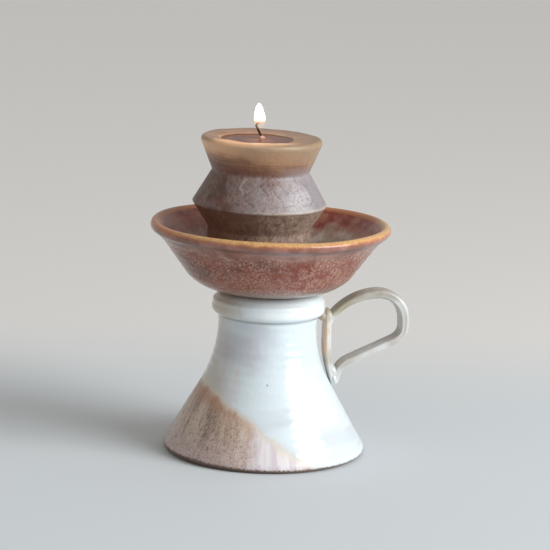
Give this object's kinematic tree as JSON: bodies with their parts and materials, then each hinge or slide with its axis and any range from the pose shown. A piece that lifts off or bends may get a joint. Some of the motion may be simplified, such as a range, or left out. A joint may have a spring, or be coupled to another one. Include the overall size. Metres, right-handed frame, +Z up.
{
  "type": "pedestal candle holder",
  "caption": "Glazed stoneware pedestal with a looped strap handle and a wide shallow bowl, holding a lift-out turned pillar candle.",
  "frame": {"origin": "centre of the pedestal's flat foot, on the surface it stands on", "axes": "+Z up along the pedestal's axis, +X towards the handle's side, -Y towards the front"},
  "size_m": [0.1673, 0.153, 0.2115],
  "materials": {
    "white_glaze": "gloss",
    "rust_glaze": "gloss",
    "brown_wax": "satin",
    "charred_cotton": "matte",
    "tinned_steel": "satin"
  },
  "bodies": {
    "stand": {"pedestal_base": "white_glaze", "handle": "white_glaze", "bowl": "rust_glaze"},
    "candle": {"candle_wax": "brown_wax", "wick": "charred_cotton", "wick_sustainer": "tinned_steel"}
  },
  "joints": [
    {"name": "candle_lift", "type": "slide", "parent": "stand", "child": "candle", "axis": [0, 0, 1], "range_m": [0, 0.06]}
  ]
}
